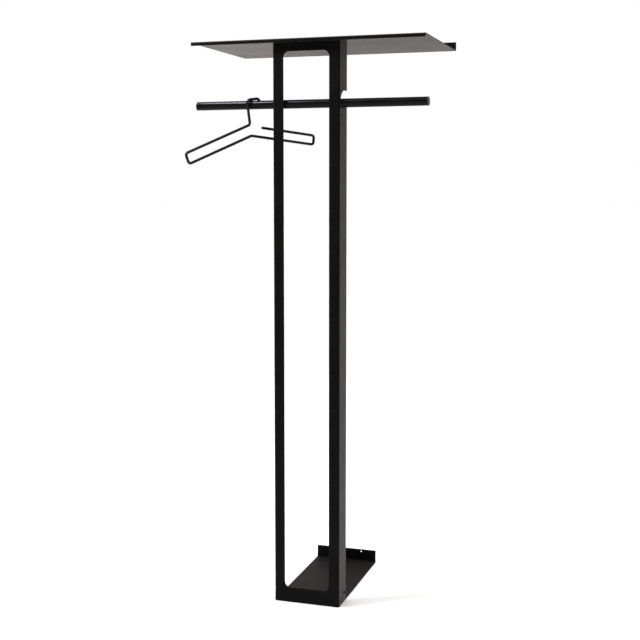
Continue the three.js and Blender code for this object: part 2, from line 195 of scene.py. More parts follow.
def rounded(corners, steps=6):
    """An outline through (u, v, radius) corners, each rounded to its radius."""
    points = []
    count = len(corners)
    for i, (u, v, radius) in enumerate(corners):
        here = Vector((u, v))
        if radius == 0:
            points.append(here)
            continue
        way_in = (here - Vector(corners[i - 1][:2])).normalized()
        way_out = (Vector(corners[(i + 1) % count][:2]) - here).normalized()
        angle = way_in.angle(way_out)
        setback = radius * math.tan(angle / 2)
        centre = here + (way_out - way_in).normalized() * radius / math.cos(angle / 2)
        spoke = here - way_in * setback - centre
        turn = math.copysign(angle, way_in.x * way_out.y - way_in.y * way_out.x)
        for step in range(steps + 1):
            points.append(centre + Matrix.Rotation(turn * step / steps, 2) @ spoke)
    return points


def arc(u, v, radius, start, end, steps):
    """Points of an arc, from start to end in radians."""
    angles = [start + (end - start) * step / steps for step in range(steps + 1)]
    return [Vector((u + radius * math.cos(a), v + radius * math.sin(a))) for a in angles]


def hole(u, v, radius, steps=32):
    """A round hole, with the sheet on the left of the way round it."""
    return arc(u, v, radius, 0, -2 * math.pi, steps)[:-1]


def unfolded(corner, depth):
    """Flat coordinate of a point on a tab, by its fold's outside corner and its depth from there."""
    return corner - 2 * BEND_OUTSIDE + BEND_LENGTH + depth


def mirrored(points):
    """The same outline on the other side, still with the sheet on its left."""
    return [Vector((-p.x, p.y)) for p in reversed(points)]


# -------------------------------------------------------------- folded sheets

class Fold:
    """A right-angled fold: past start, on that side along U (0) or V (1), the sheet turns to W or away."""

    def __init__(self, along, side, corner, turn, across=(-math.inf, math.inf)):
        self.along = along
        self.side = side
        self.start = side * (corner - BEND_OUTSIDE)
        self.turn = turn
        self.across = across

    def beyond(self, point):
        low, high = self.across
        if not low <= point[1 - self.along] <= high:
            return 0
        return max(self.side * (point[self.along] - self.start), 0)

    def stations(self):
        return [self.start + self.side * BEND_LENGTH * step / BEND_STEPS for step in range(BEND_STEPS + 1)]


def folded_place(point, folds):
    """Middle of the sheet at a point of the flat blank, and where its U, V and W then point."""
    place = Vector((point[0], point[1], 0))
    directions = Matrix.Identity(3)
    for fold in folds:
        beyond = fold.beyond(point)
        if beyond <= 0:
            continue
        angle = min(beyond / BEND_MIDDLE, math.pi / 2)
        out = Vector((0, 0, 0))
        out[fold.along] = fold.side
        up = Vector((0, 0, fold.turn))
        ahead = out * math.cos(angle) + up * math.sin(angle)
        place[fold.along] = fold.start
        place += out * BEND_MIDDLE * math.sin(angle)
        place += up * BEND_MIDDLE * (1 - math.cos(angle))
        place += ahead * max(beyond - BEND_LENGTH, 0)
        directions[fold.along] = ahead * fold.side
        directions[2] = (up * math.cos(angle) - out * math.sin(angle)) * fold.turn
    return place, directions


def cut_at_folds(loop, folds):
    """The outline with a point wherever it crosses a fold's station lines."""
    points = []
    for i, here in enumerate(loop):
        after = loop[(i + 1) % len(loop)]
        points.append(here)
        shares = set()
        for fold in folds:
            run = after[fold.along] - here[fold.along]
            for station in fold.stations():
                share = (station - here[fold.along]) / run if abs(run) > MARGIN / 10 else 0
                crossing = here.lerp(after, share)
                low, high = fold.across
                if 1e-4 < share < 1 - 1e-4 and low <= crossing[1 - fold.along] <= high:
                    shares.add(round(share, 9))
        points.extend(here.lerp(after, share) for share in sorted(shares))
    return points


def inward(loop):
    """For each point of an outline, the step into the sheet that moves both its sides in by one."""
    steps = []
    for i, here in enumerate(loop):
        way_in = (here - loop[i - 1]).normalized()
        way_out = (loop[(i + 1) % len(loop)] - here).normalized()
        left_in = Vector((-way_in.y, way_in.x))
        left_out = Vector((-way_out.y, way_out.x))
        steps.append((left_in + left_out) / (1 + left_in.dot(left_out)))
    return steps


def fold_lines(points, folds):
    """Edges across the blank along each fold's stations, between points of its outlines."""
    edges = []
    for fold in folds:
        low, high = fold.across
        for station in fold.stations():
            on_line = [
                i for i, p in enumerate(points)
                if abs(p[fold.along] - station) < MARGIN / 20 and low <= p[1 - fold.along] <= high
            ]
            on_line.sort(key=lambda i: points[i][1 - fold.along])
            edges.extend(zip(on_line[0::2], on_line[1::2]))
    return edges


def inside(point, loops):
    """True if the point is on the sheet, by counting outlines to its right."""
    crossings = 0
    for loop in loops:
        for i, b in enumerate(loop):
            a = loop[i - 1]
            if (a.y > point.y) != (b.y > point.y):
                crossings += point.x < a.x + (b.x - a.x) * (point.y - a.y) / (b.y - a.y)
    return crossings % 2 == 1


def skin_triangles(loops, folds):
    """Triangles over the blank, as indices into the points of its outlines."""
    points = [p for loop in loops for p in loop]
    edges = fold_lines(points, folds)
    first = 0
    for loop in loops:
        count = len(loop)
        edges.extend((first + i, first + (i + 1) % count) for i in range(count))
        first += count
    flat = [p / MM for p in points]
    _, _, triangles, origins, _, _ = delaunay_2d_cdt(flat, edges, [], 0, 1e-5, True)
    kept = []
    for triangle in triangles:
        corners = [origins[i][0] for i in triangle]
        centre = sum((points[i] for i in corners), Vector((0, 0))) / 3
        if inside(centre, loops):
            kept.append(corners)
    return kept


def folded_sheet(name, loops, folds, to_frame):
    """A sheet of even thickness with rounded cut edges, from its flat blank and its folds."""
    loops = [cut_at_folds(loop, folds) for loop in loops]
    steps_in = [inward(loop) for loop in loops]
    half = SHEET / 2 - EDGE_ROUND
    rows = []
    for side in (1, -1):
        for step in range(EDGE_STEPS + 1):
            share = step / EDGE_STEPS if side > 0 else 1 - step / EDGE_STEPS
            tilt = math.pi / 2 * share
            setback = EDGE_ROUND * (1 - math.sin(tilt))
            height = side * (half + EDGE_ROUND * math.cos(tilt))
            rows.append((setback, height, math.sin(tilt), side * math.cos(tilt)))
    vertices, normals = [], []
    for setback, height, outward, upward in rows:
        for loop, steps in zip(loops, steps_in):
            for point, step in zip(loop, steps):
                flat = point + step * setback
                place, (along_u, along_v, along_w) = folded_place(flat, folds)
                away = -step.normalized()
                vertices.append(to_frame @ (place + along_w * height))
                normal = (along_u * away.x + along_v * away.y) * outward + along_w * upward
                normals.append(to_frame.to_3x3() @ normal)
    count = len(vertices) // len(rows)
    inner_loops = []
    for loop, steps in zip(loops, steps_in):
        inner_loops.append([point + step * EDGE_ROUND for point, step in zip(loop, steps)])
    triangles = skin_triangles(inner_loops, folds)
    last = count * (len(rows) - 1)
    faces = [tuple(triangle) for triangle in triangles]
    faces += [tuple(last + i for i in reversed(triangle)) for triangle in triangles]
    first = 0
    for loop in loops:
        for row in range(len(rows) - 1):
            for i in range(len(loop)):
                a = row * count + first + i
                b = row * count + first + (i + 1) % len(loop)
                faces.append((b, a, a + count, b + count))
        first += len(loop)
    return solid(name, vertices, faces, normals)


# ------------------------------------------------------------ other meshes

def solid(name, vertices, faces, normals=None, sharp_angle=None):
    """A closed mesh object with its faces outward, shaded smooth up to sharp_angle or by given normals."""
    mesh = bpy.data.meshes.new(name)
    mesh.from_pydata(vertices, [], faces)
    work = bmesh.new()
    work.from_mesh(mesh)
    bmesh.ops.recalc_face_normals(work, faces=work.faces)
    if work.calc_volume(signed=True) < 0:
        bmesh.ops.reverse_faces(work, faces=work.faces)
    work.to_mesh(mesh)
    work.free()
    mesh.shade_smooth()
    if normals is not None:
        mesh.normals_split_custom_set_from_vertices(normals)
    if sharp_angle is not None:
        mesh.set_sharp_from_angle(angle=sharp_angle)
    made = bpy.data.objects.new(name, mesh)
    bpy.context.scene.collection.objects.link(made)
    return made


def circle(radius):
    return lambda angle: radius


def hexagon(radius, limit=math.inf):
    """Distance to a hexagon's side at each angle, cut off by a circle."""
    sector = math.pi / 3
    across_flats = radius * math.cos(sector / 2)
    return lambda angle: min(limit, across_flats / math.cos(angle % sector - sector / 2))


def turned(name, rows, sides, place, ring=False, sharp_angle=math.radians(32)):
    """A piece of (outline, height) rows round its Z axis, closed at both ends or made a ring."""
    vertices, faces = [], []
    for outline, height in rows:
        for side in range(sides):
            angle = 2 * math.pi * side / sides
            radius = outline(angle)
            vertices.append(place @ Vector((radius * math.cos(angle), radius * math.sin(angle), height)))
    for row in range(len(rows) if ring else len(rows) - 1):
        after = (row + 1) % len(rows)
        a, b = row * sides, after * sides
        for side in range(sides):
            beside = (side + 1) % sides
            faces.append((a + side, a + beside, b + beside, b + side))
    if not ring:
        for row in (0, len(rows) - 1):
            middle = len(vertices)
            vertices.append(place @ Vector((0, 0, rows[row][1])))
            for side in range(sides):
                faces.append((row * sides + side, row * sides + (side + 1) % sides, middle))
    return solid(name, vertices, faces, sharp_angle=sharp_angle)


def along(node, direction):
    """Places a piece's Z axis along direction, with its origin in the middle of the node's end there."""
    low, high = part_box(node)
    way = Vector(direction)
    middle = (low + high) / 2
    half = (high - low) / 2
    end = middle + Vector([half[i] * way[i] for i in range(3)])
    return Matrix.Translation(end) @ way.to_track_quat("Z", "Y").to_matrix().to_4x4()


def swept_wire(name, line, plane_normal, place):
    """A round wire along a plane line, its two ends slightly rounded."""
    stations = []
    for i, point in enumerate(line):
        before = line[max(i - 1, 0)]
        after = line[min(i + 1, len(line) - 1)]
        ahead = ((point - before).normalized() + (after - point).normalized()).normalized()
        stations.append((point, ahead, WIRE_RADIUS))
    rounding = []
    for step in range(WIRE_END_STEPS + 1):
        tilt = math.pi / 2 * step / WIRE_END_STEPS
        back = WIRE_END_ROUND * (1 - math.sin(tilt))
        rounding.append((back, WIRE_RADIUS - WIRE_END_ROUND * (1 - math.cos(tilt))))
    first, last = stations[0], stations[-1]
    start = [(first[0] + first[1] * back, first[1], radius) for back, radius in reversed(rounding)]
    end = [(last[0] - last[1] * back, last[1], radius) for back, radius in rounding]
    stations = start + stations[1:-1] + end
    vertices, faces = [], []
    for point, ahead, radius in stations:
        across = ahead.cross(plane_normal)
        for side in range(WIRE_SIDES):
            angle = 2 * math.pi * side / WIRE_SIDES
            spoke = across * math.cos(angle) + plane_normal * math.sin(angle)
            vertices.append(place @ (point + spoke * radius))
    for row in range(len(stations) - 1):
        for side in range(WIRE_SIDES):
            beside = (side + 1) % WIRE_SIDES
            a, b = row * WIRE_SIDES, (row + 1) * WIRE_SIDES
            faces.append((a + side, a + beside, b + beside, b + side))
    for row, station in ((0, stations[0]), (len(stations) - 1, stations[-1])):
        middle = len(vertices)
        vertices.append(place @ station[0])
        for side in range(WIRE_SIDES):
            faces.append((row * WIRE_SIDES + side, row * WIRE_SIDES + (side + 1) % WIRE_SIDES, middle))
    return solid(name, vertices, faces, sharp_angle=math.radians(50))


# ----------------------------------------------------------------- materials

class Surface:
    """A node material built round one Principled shader, with its textures in the object's own metres."""

    def __init__(self, name, color, roughness, metallic=0.0):
        self.material = bpy.data.materials.new(name)
        self.material.use_nodes = True
        self.nodes = self.material.node_tree.nodes
        self.links = self.material.node_tree.links
        self.shader = self.nodes["Principled BSDF"]
        self.shader.inputs["Base Color"].default_value = (*color, 1)
        self.shader.inputs["Roughness"].default_value = roughness
        self.shader.inputs["Metallic"].default_value = metallic
        self.place = self.nodes.new("ShaderNodeTexCoord").outputs["Object"]

    def noise(self, size, detail=3.0, stretch=(1, 1, 1)):
        """Noise with features of about size metres."""
        mapping = self.nodes.new("ShaderNodeMapping")
        mapping.inputs["Scale"].default_value = stretch
        self.links.new(self.place, mapping.inputs["Vector"])
        texture = self.nodes.new("ShaderNodeTexNoise")
        texture.inputs["Scale"].default_value = 1 / size
        texture.inputs["Detail"].default_value = detail
        self.links.new(mapping.outputs["Vector"], texture.inputs["Vector"])
        return texture.outputs["Fac"]

    def spread(self, value, low, high, start=0.3, end=0.7):
        """The value stretched from start..end to low..high."""
        node = self.nodes.new("ShaderNodeMapRange")
        node.inputs["From Min"].default_value = start
        node.inputs["From Max"].default_value = end
        node.inputs["To Min"].default_value = low
        node.inputs["To Max"].default_value = high
        self.links.new(value, node.inputs["Value"])
        return node.outputs["Result"]

    def blend(self, value, first, second):
        """A colour from first to second as value goes from 0 to 1."""
        node = self.nodes.new("ShaderNodeMix")
        node.data_type = "RGBA"
        self.links.new(value, node.inputs["Factor"])
        node.inputs["A"].default_value = (*first, 1)
        node.inputs["B"].default_value = (*second, 1)
        return node.outputs["Result"]

    def drive(self, socket, value):
        self.links.new(value, self.shader.inputs[socket])

    def bump(self, heights):
        """Bumps of (value, height in metres, strength), one on top of the other."""
        normal = None
        for value, height, strength in heights:
            node = self.nodes.new("ShaderNodeBump")
            node.inputs["Distance"].default_value = height
            node.inputs["Strength"].default_value = strength
            self.links.new(value, node.inputs["Height"])
            if normal is not None:
                self.links.new(normal, node.inputs["Normal"])
            normal = node.outputs["Normal"]
        self.drive("Normal", normal)


def powder_coat(name, dark, light, roughness, grain, depth):
    """Baked powder coat: fine orange peel, a grainy tooth and slightly uneven gloss."""
    surface = Surface(name, dark, roughness)
    cloud = surface.noise(0.09, detail=4)
    peel = surface.noise(grain * 3.5, detail=1)
    tooth = surface.noise(grain, detail=2)
    surface.drive("Base Color", surface.blend(surface.spread(cloud, 0, 1), dark, light))
    surface.drive("Roughness", surface.spread(cloud, roughness - 0.035, roughness + 0.035))
    surface.bump([(peel, depth * 1.6, 0.6), (tooth, depth, 0.7)])
    return surface


def sheet_coat():
    surface = powder_coat("black_powder_coat", (0.0026, 0.0024, 0.0023), (0.0042, 0.0039, 0.0037),
                          0.46, 0.45 * MM, 0.012 * MM)
    surface.shader.inputs["Specular IOR Level"].default_value = 0.045
    surface.shader.inputs["Sheen Weight"].default_value = 0.17
    surface.shader.inputs["Sheen Roughness"].default_value = 0.35
    surface.shader.inputs["Sheen Tint"].default_value = (1.0, 0.87, 0.78, 1)
    return surface.material


def rail_coat():
    surface = powder_coat("black_rail_coat", (0.0032, 0.003, 0.0032), (0.0045, 0.0042, 0.0045),
                          0.27, 0.4 * MM, 0.001 * MM)
    surface.shader.inputs["Specular IOR Level"].default_value = 0.09
    return surface.material


def wire_coat():
    surface = powder_coat("black_wire_coat", (0.005, 0.005, 0.005), (0.007, 0.007, 0.007),
                          0.45, 0.4 * MM, 0.008 * MM)
    surface.shader.inputs["Specular IOR Level"].default_value = 0.2
    return surface.material


def cap_plastic():
    """Dark moulded plastic with a fine spark-eroded grain."""
    dark, light = (0.027, 0.026, 0.026), (0.036, 0.035, 0.034)
    surface = Surface("dark_cap_plastic", dark, 0.55)
    grain = surface.noise(0.25 * MM, detail=2)
    cloud = surface.noise(6 * MM)
    surface.drive("Base Color", surface.blend(surface.spread(cloud, 0, 1), dark, light))
    surface.drive("Roughness", surface.spread(cloud, 0.5, 0.6))
    surface.bump([(grain, 0.02 * MM, 0.6)])
    return surface.material


def black_screw():
    """Black oxide on steel, oiled and nearly black, a little worn in patches."""
    dark, worn = (0.003, 0.003, 0.0035), (0.009, 0.009, 0.009)
    surface = Surface("black_oxide_steel", dark, 0.5)
    patches = surface.noise(2.5 * MM, detail=5)
    grain = surface.noise(0.15 * MM, detail=2)
    surface.drive("Base Color", surface.blend(surface.spread(patches, 0, 1), dark, worn))
    surface.drive("Roughness", surface.spread(patches, 0.42, 0.56))
    surface.bump([(grain, 0.008 * MM, 0.5)])
    surface.shader.inputs["Specular IOR Level"].default_value = 0.1
    return surface.material


def zinc_nut():
    """Bright zinc plate with drawn lines and cloudy tints."""
    blue, yellow = (0.46, 0.47, 0.49), (0.58, 0.55, 0.49)
    surface = Surface("zinc_plated_steel", blue, 0.3, metallic=1.0)
    cloud = surface.noise(1.8 * MM, detail=4)
    lines = surface.noise(0.3 * MM, detail=2, stretch=(1, 1, 0.08))
    surface.drive("Base Color", surface.blend(surface.spread(cloud, 0, 1), blue, yellow))
    surface.drive("Roughness", surface.spread(lines, 0.24, 0.38))
    surface.bump([(lines, 0.01 * MM, 0.5)])
    return surface.material


def pale_floor():
    dull, clean = (0.92, 0.92, 0.92), (0.93, 0.93, 0.93)
    surface = Surface("pale_floor", clean, 0.7)
    cloud = surface.noise(0.4)
    surface.drive("Base Color", surface.blend(cloud, dull, clean))
    surface.shader.inputs["Specular IOR Level"].default_value = 0.2
    return surface.material


# ------------------------------------------------------------ the rack itself

def settle(piece, node, body, material):
    """Puts a finished piece in place of its CAD node."""
    piece.data.materials.append(material)
    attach(piece, body)
    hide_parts(node)
    return piece


def notch_points():
    """The rail's notch as (depth behind the face, height), from its mouth's lower edge to its upper one."""
    back = RAIL_Y - FACE_Y
    arc_back = back + NOTCH_ARC_BACK
    arc_height = RAIL_Z - NOTCH_ARC_DOWN
    arc_radius = math.hypot(NOTCH_ARC_BACK, NOTCH_ARC_DOWN) + CRADLE_RADIUS
    meeting = math.pi - math.atan2(NOTCH_ARC_DOWN, NOTCH_ARC_BACK)
    rear = FLANGE_REAR - FACE_Y
    lip_back = back + LIP_RISE + CRADLE_RADIUS * math.sqrt(2)
    lip_height = RAIL_Z + LIP_RISE
    mouth = rounded([
        (rear, lip_height - 4 * CORNER, 0),
        (rear, lip_height, CORNER),
        (lip_back, lip_height, LIP_ROUND * 1.5),
        (lip_back - LIP_RISE / 2, lip_height - LIP_RISE / 2, 0),
    ])[1:-1]
    cradle = arc(back, RAIL_Z, CRADLE_RADIUS, math.radians(315), meeting, NOTCH_STEPS)
    roof = arc(arc_back, arc_height, arc_radius, meeting, math.pi / 2, NOTCH_STEPS)
    top = rounded([
        (arc_back, arc_height + arc_radius, 0),
        (rear, arc_height + arc_radius, CORNER),
        (rear, arc_height + arc_radius + 4 * CORNER, 0),
    ])[1:-1]
    return mouth + cradle + roof[1:] + top


def front_frame():
    floor_screw_low, floor_screw_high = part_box("floor_screw_right")
    screw_place = (floor_screw_low + floor_screw_high) / 2
    flange_end = unfolded(HALF_FRAME, FLANGE_REAR - FACE_Y)
    tab_end = unfolded(FRAME_TOP, TOP_FLANGE_DEPTH)
    slot_outside = HALF_FRAME - BEND_OUTSIDE - CORNER
    tab_half = slot_outside - RELIEF
    slot_bottom = FRAME_TOP - BEND_OUTSIDE - RELIEF
    lower_right = rounded([
        (0, 0, 0),
        (flange_end, 0, CORNER),
        (flange_end, RAIL_Z, 0),
    ])[1:-1]
    notch = [Vector((unfolded(HALF_FRAME, p.x), p.y)) for p in notch_points()]
    upper_right = rounded([
        (flange_end, FRAME_TOP - 4 * CORNER, 0),
        (flange_end, FRAME_TOP, CORNER),
        (slot_outside, FRAME_TOP, SLOT_CORNER),
        (slot_outside, slot_bottom, RELIEF_ROUND),
        (tab_half, slot_bottom, RELIEF_ROUND),
        (tab_half, tab_end, WIDE_CORNER),
        (0, tab_end, 0),
    ])[1:-1]
    right = lower_right + notch + upper_right
    window_top = SHELF_TOP - TOP_RAIL
    window = rounded([
        (STILE - HALF_FRAME, BOTTOM_RAIL, WINDOW_RADIUS),
        (STILE - HALF_FRAME, window_top, WINDOW_RADIUS),
        (HALF_FRAME - STILE, window_top, WINDOW_RADIUS),
        (HALF_FRAME - STILE, BOTTOM_RAIL, WINDOW_RADIUS),
    ], WINDOW_STEPS)
    loops = [right + mirrored(right), window]
    below_rail = unfolded(HALF_FRAME, RAIL_Y - FACE_Y)
    at_screw = unfolded(HALF_FRAME, screw_place.y - FACE_Y)
    for side in (-1, 1):
        loops.append(hole(side * below_rail, RAIL_Z - SIDE_HOLE_DROP, SIDE_HOLE_RADIUS))
        loops.append(hole(side * at_screw, screw_place.z, SCREW_HOLE_RADIUS))
        for i in (2, 4):
            low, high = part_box(f"shelf_screw_{i}")
            middle = (low + high) / 2
            loops.append(hole(side * middle.x, unfolded(FRAME_TOP, middle.y - FACE_Y), SCREW_HOLE_RADIUS))
    folds = [
        Fold(0, 1, HALF_FRAME, 1),
        Fold(0, -1, HALF_FRAME, 1),
        Fold(1, 1, FRAME_TOP, 1, (-tab_half - MARGIN, tab_half + MARGIN)),
    ]
    to_frame = Matrix(((1, 0, 0, 0), (0, 0, 1, FACE_Y + SHEET / 2), (0, 1, 0, 0), (0, 0, 0, 1)))
    return folded_sheet("front_frame_sheet", loops, folds, to_frame)


def hat_shelf():
    front = -unfolded(-shelf_low.y, SHELF_TOP - shelf_low.z)
    underside = SHELF_TOP - SHEET
    rear = unfolded(shelf_high.y, shelf_high.z - underside)
    outline = rounded([
        (shelf_low.x, front, CORNER),
        (shelf_high.x, front, CORNER),
        (shelf_high.x, rear, CORNER),
        (shelf_low.x, rear, CORNER),
    ])
    loops = [outline]
    for i in range(1, 5):
        low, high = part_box(f"shelf_screw_{i}")
        middle = (low + high) / 2
        loops.append(hole(middle.x, middle.y, SCREW_HOLE_RADIUS))
    for x in (-SHELF_WALL_HOLE_X, SHELF_WALL_HOLE_X):
        loops.append(hole(x, unfolded(shelf_high.y, SHEET + SHELF_WALL_HOLE_RISE), WALL_HOLE_RADIUS))
    folds = [Fold(1, -1, -shelf_low.y, -1), Fold(1, 1, shelf_high.y, 1)]
    to_frame = Matrix.Translation((0, 0, SHELF_TOP - SHEET / 2))
    return folded_sheet("hat_shelf_sheet", loops, folds, to_frame)


def floor_plate():
    floor_screw_low, floor_screw_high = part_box("floor_screw_right")
    ear_middle = (floor_screw_low.y + floor_screw_high.y) / 2
    ear_front = ear_middle - EAR_WIDTH / 2
    shoulder = FLANGE_REAR + GAP
    ear_rear = shoulder - RELIEF
    web = EAR_OUTSIDE - BEND_OUTSIDE
    ear_end = unfolded(EAR_OUTSIDE, EAR_HEIGHT)
    front_line = plate_low.y + BEND_OUTSIDE
    right = rounded([
        (0, -unfolded(-plate_low.y, FRONT_UPSTAND), 0),
        (FRONT_UPSTAND_HALF, -unfolded(-plate_low.y, FRONT_UPSTAND), WIDE_CORNER),
        (FRONT_UPSTAND_HALF, front_line + CORNER, TIGHT_CORNER),
        (web - CORNER, front_line + CORNER, WIDE_CORNER),
        (web - CORNER, ear_front, TIGHT_CORNER),
        (ear_end, ear_front, WIDE_CORNER),
        (ear_end, ear_rear, WIDE_CORNER),
        (web - RELIEF, ear_rear, RELIEF_ROUND),
        (web - RELIEF, shoulder, RELIEF_ROUND),
        (plate_high.x, shoulder, CORNER),
        (plate_high.x, unfolded(plate_high.y, WALL_FLANGE), CORNER),
        (0, unfolded(plate_high.y, WALL_FLANGE), 0),
    ])[1:-1]
    loops = [right + mirrored(right)]
    at_screw = unfolded(EAR_OUTSIDE, (floor_screw_low.z + floor_screw_high.z) / 2)
    at_wall = unfolded(plate_high.y, FLOOR_WALL_HOLE_HEIGHT)
    for side in (-1, 1):
        loops.append(hole(side * at_screw, ear_middle, SCREW_HOLE_RADIUS))
        loops.append(hole(side * FLOOR_WALL_HOLE_X, at_wall, WALL_HOLE_RADIUS))
    ear_reach = (ear_front - MARGIN, ear_rear + MARGIN)
    front_reach = (-FRONT_UPSTAND_HALF - MARGIN, FRONT_UPSTAND_HALF + MARGIN)
    folds = [
        Fold(1, 1, plate_high.y, 1),
        Fold(1, -1, -plate_low.y, 1, front_reach),
        Fold(0, 1, EAR_OUTSIDE, 1, ear_reach),
        Fold(0, -1, EAR_OUTSIDE, 1, ear_reach),
    ]
    to_frame = Matrix.Translation((0, 0, SHEET / 2))
    return folded_sheet("floor_plate_sheet", loops, folds, to_frame)


def edge_rows(radius, height, rounding, inner, steps=4):
    """Rows over a rounded rim, from the side at radius up to the flat at height."""
    rows = []
    for step in range(steps + 1):
        tilt = math.pi / 2 * step / steps
        rim = circle(radius - rounding * (1 - math.cos(tilt)))
        rows.append((rim, height - rounding * (1 - math.sin(tilt))))
    rows.append((circle(inner), height))
    return rows


def clothes_rail():
    place = along("clothes_rail", (1, 0, 0))
    length = rail_high.x - rail_low.x
    outer = edge_rows(RAIL_RADIUS, 0, RAIL_END_ROUND, RAIL_BORE + MARGIN)
    rows = outer + [(circle(RAIL_BORE), -MARGIN)]
    rows += [(outline, -length - height) for outline, height in reversed(rows)]
    return turned("clothes_rail_tube", rows, RAIL_SIDES, place, ring=True)


def rail_end_cap(side_name, side):
    """A push-in cap: rounded face with a slight dish, a plain stem and a lead-in."""
    place = along(f"rail_end_cap_{side_name}", (side, 0, 0))
    stem = RAIL_BORE - GAP
    dish = RAIL_RADIUS - CAP_RIM
    rows = [
        (circle(stem - CAP_LEAD_IN), -CAP_DISC - CAP_STEM),
        (circle(stem), -CAP_DISC - CAP_STEM + CAP_LEAD_IN),
        (circle(stem), -CAP_DISC),
        (circle(RAIL_RADIUS - MARGIN), -CAP_DISC),
        (circle(RAIL_RADIUS), -CAP_DISC + MARGIN),
    ]
    rows += edge_rows(RAIL_RADIUS, 0, CAP_ROUND, dish)
    rows.append((circle(dish - 2 * CAP_CROWN), -CAP_CROWN))
    rows.append((circle(1 * MM), -CAP_CROWN))
    return turned(f"rail_end_cap_{side_name}_moulding", rows, RAIL_SIDES, place)


def button_screw(node, direction):
    """Button-head screw with a hexagon socket, rolled thread and a rounded point."""
    low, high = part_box(node)
    length = max(high - low) - HEAD_HEIGHT
    core = SCREW_RADIUS - THREAD_DEPTH
    bottom = -HEAD_HEIGHT - length
    crest_start, crest_end = THREAD_CREST
    rows = [(circle(core * 0.8), bottom), (circle(core), bottom + SCREW_POINT)]
    height = bottom + SCREW_POINT
    while height + THREAD_PITCH < -HEAD_HEIGHT - THREAD_START:
        rows.append((circle(SCREW_RADIUS), height + THREAD_PITCH * crest_start))
        rows.append((circle(SCREW_RADIUS), height + THREAD_PITCH * crest_end))
        rows.append((circle(core), height + THREAD_PITCH))
        height += THREAD_PITCH
    rows.append((circle(SCREW_RADIUS), height + THREAD_PITCH * crest_start))
    rows.append((circle(SCREW_RADIUS), -HEAD_HEIGHT))
    rows.append((circle(HEAD_RADIUS - HEAD_UNDERCUT), -HEAD_HEIGHT))
    for step in range(HEAD_STEPS + 1):
        tilt = math.pi / 2 * step / HEAD_STEPS
        radius = HEAD_FLAT + (HEAD_RADIUS - HEAD_FLAT) * math.cos(tilt)
        rows.append((circle(radius), HEAD_RIM - HEAD_HEIGHT + (HEAD_HEIGHT - HEAD_RIM) * math.sin(tilt)))
    rows.append((circle(SOCKET_RADIUS + SOCKET_CHAMFER * 1.7), 0))
    rows.append((hexagon(SOCKET_RADIUS), -SOCKET_CHAMFER))
    rows.append((hexagon(SOCKET_RADIUS), -SOCKET_DEPTH * 0.8))
    rows.append((hexagon(SOCKET_RADIUS * 0.4), -SOCKET_DEPTH))
    return turned(f"{node}_button_head", rows, HARDWARE_SIDES, along(node, direction))


def hexagon_nut(node, direction):
    """Hexagon nut with chamfered corners and a countersunk bore."""
    bore = SCREW_RADIUS + GAP
    across_flats = NUT_RADIUS * math.cos(math.pi / 6)
    land = across_flats * 0.95
    rows = [(circle(bore), -NUT_COUNTERSINK), (circle(bore + NUT_COUNTERSINK), 0), (circle(land), 0)]
    for step in range(1, NUT_STEPS + 1):
        share = step / NUT_STEPS
        limit = land + (NUT_RADIUS - land) * share
        rows.append((hexagon(NUT_RADIUS, limit), -NUT_CHAMFER * share))
    rows += [(outline, -NUT_HEIGHT - height) for outline, height in reversed(rows)]
    return turned(f"{node}_hexagon", rows, HARDWARE_SIDES, along(node, direction), ring=True)


def hanger_corners():
    """Corners of the hanger's wire in its own plane, as (x, z, bend radius)."""
    shank = -HOOK_HALF_WIDTH
    out_x = math.cos(ARM_SLOPE)
    out_z = -math.sin(ARM_SLOPE)

    def ends(side, upper_z):
        drop = (upper_z - LOWER_PEAK) * out_x
        upper = (shank + side * ARM_SPAN * out_x, upper_z + ARM_SPAN * out_z)
        lower = (upper[0] + side * drop * out_z, upper[1] - drop * out_x)
        return (*upper, WIRE_BEND), (*lower, WIRE_BEND)

    left_upper, left_lower = ends(-1, SHANK_BOTTOM)
    right_upper, right_lower = ends(1, SHANK_BOTTOM - RIGHT_ARM_DROP)
    free_z = SHANK_BOTTOM - RIGHT_ARM_DROP - FREE_END * math.tan(ARM_SLOPE)
    return [
        (HOOK_HALF_WIDTH, HOOK_TAIL, 0),
        (HOOK_HALF_WIDTH, HOOK_TOP, HOOK_CORNER),
        (shank, HOOK_TOP, HOOK_CORNER),
        (shank, SHANK_BOTTOM, WIRE_BEND),
        left_upper,
        left_lower,
        (shank, LOWER_PEAK, PEAK_BEND),
        right_lower,
        right_upper,
        (shank + FREE_END, free_z, 0),
    ]


def coat_hanger():
    swing = next(j for j in frame["joints"] if j["type"] == "hinge")
    line = [Vector((p.x, 0, p.y)) for p in rounded(hanger_corners(), WIRE_BEND_STEPS)]
    turn = Matrix.Rotation(HANGER_TURN, 4, "Z") @ Matrix.Rotation(-HANGER_ROLL, 4, "Y")
    place = Matrix.Translation(Vector(swing["pos_m"])) @ turn
    return swept_wire("coat_hanger_wire", line, Vector((0, 1, 0)), place)


